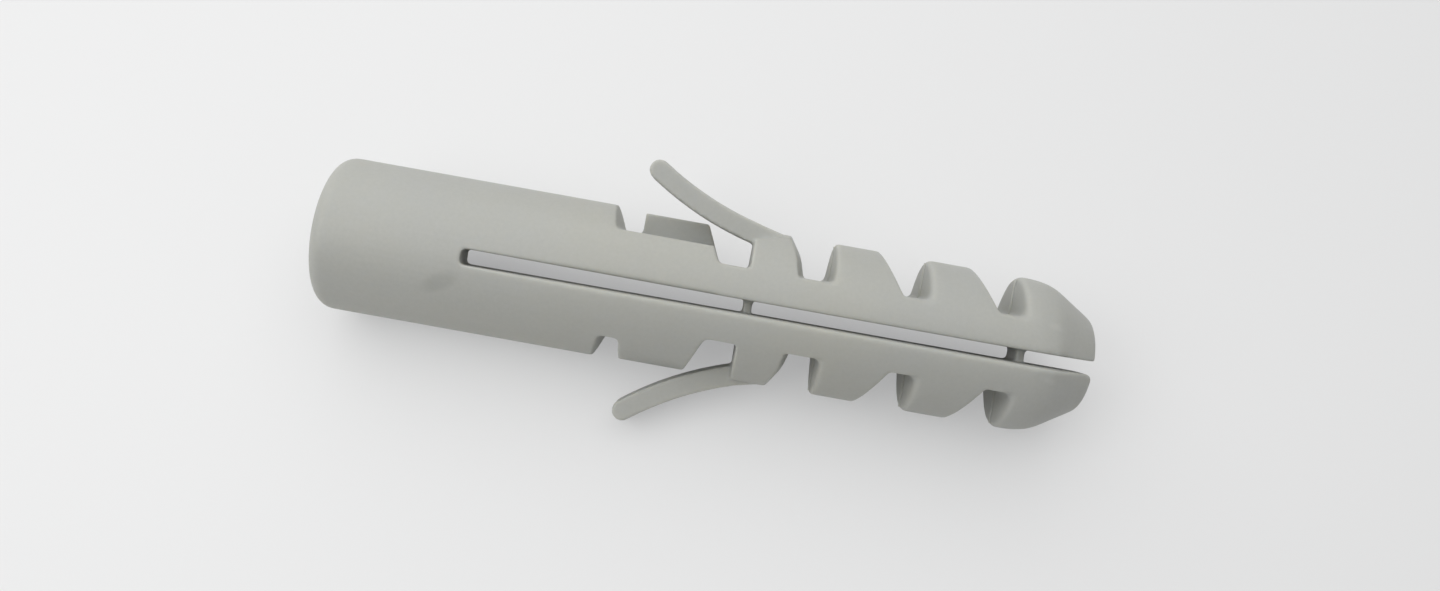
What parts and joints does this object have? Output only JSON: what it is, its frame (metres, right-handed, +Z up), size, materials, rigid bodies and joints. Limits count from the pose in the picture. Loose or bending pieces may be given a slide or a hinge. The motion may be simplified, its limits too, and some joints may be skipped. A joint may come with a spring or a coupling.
{
  "type": "nylon wall plug",
  "caption": "Collarless nylon wall plug with an open screw bore, a split toothed body that spreads in its hole, and sprung tongues that stop it turning.",
  "frame": {"origin": "on the plug's axis, in the plane of its mouth", "axes": "+X along the axis from the mouth to the tip, +Z up as it lies on its shank with the end of its lower tongue just clear of the ground, which leans the slot's plane 23 degrees from the XZ plane"},
  "size_m": [0.05, 0.0165, 0.01],
  "materials": {
    "grey_nylon": "as moulded, matt"
  },
  "bodies": {
    "root": {"wall_plug": "grey_nylon"}
  },
  "joints": []
}
